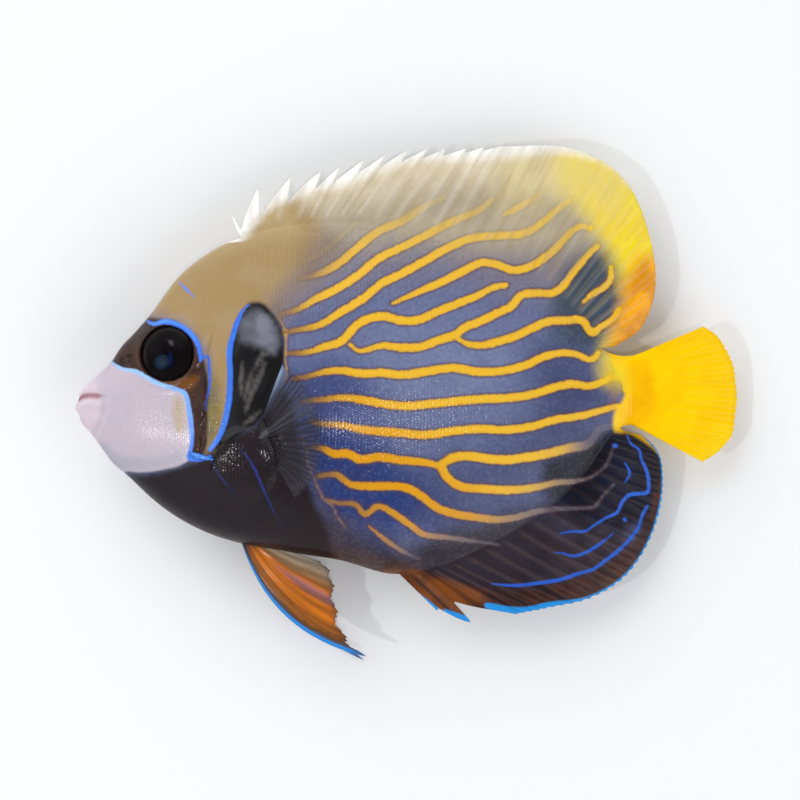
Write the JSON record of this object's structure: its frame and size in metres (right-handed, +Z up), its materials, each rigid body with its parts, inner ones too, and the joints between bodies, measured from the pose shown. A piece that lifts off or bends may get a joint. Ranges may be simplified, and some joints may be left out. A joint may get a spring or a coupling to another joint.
{
  "type": "emperor angelfish, life-size still model lying on its side",
  "caption": "Life-size emperor angelfish model lying flat on its right side, fins spread, to be looked at from above or held in the hand.",
  "frame": {"origin": "on the floor, under the middle of the model's bounding box", "axes": "+X from the snout towards the tail, +Y towards the back and the dorsal fin, +Z up from the floor, out of the left flank"},
  "size_m": [0.1248, 0.0984, 0.023],
  "materials": {
    "head_skin": "wet, glossy skin",
    "muzzle_skin": "wet, glossy skin",
    "flank_skin": "wet, finely scaled skin with yellow stripes",
    "blue_spine": "glossy",
    "eye": "clear and glossy",
    "pale_fin": "thin, partly clear membrane",
    "yellow_fin": "thin membrane",
    "brown_fin": "thin membrane",
    "dark_fin": "thin membrane"
  },
  "bodies": {
    "root": {"head": "head_skin", "upper_lip": "muzzle_skin", "lower_lip": "muzzle_skin", "gill_cover_left": "head_skin", "gill_cover_right": "head_skin", "cheek_spine_left": "blue_spine", "cheek_spine_right": "blue_spine", "eye_left": "eye", "eye_right": "eye", "trunk": "flank_skin", "tail_base": "flank_skin", "dorsal_fin_spiny": "pale_fin", "dorsal_fin_soft": "yellow_fin", "anal_fin_spiny": "brown_fin", "anal_fin_soft": "dark_fin", "tail_fin": "yellow_fin", "pelvic_fin_left": "brown_fin", "pelvic_fin_right": "brown_fin", "pectoral_fin_left": "dark_fin", "pectoral_fin_right": "dark_fin"}
  },
  "joints": []
}
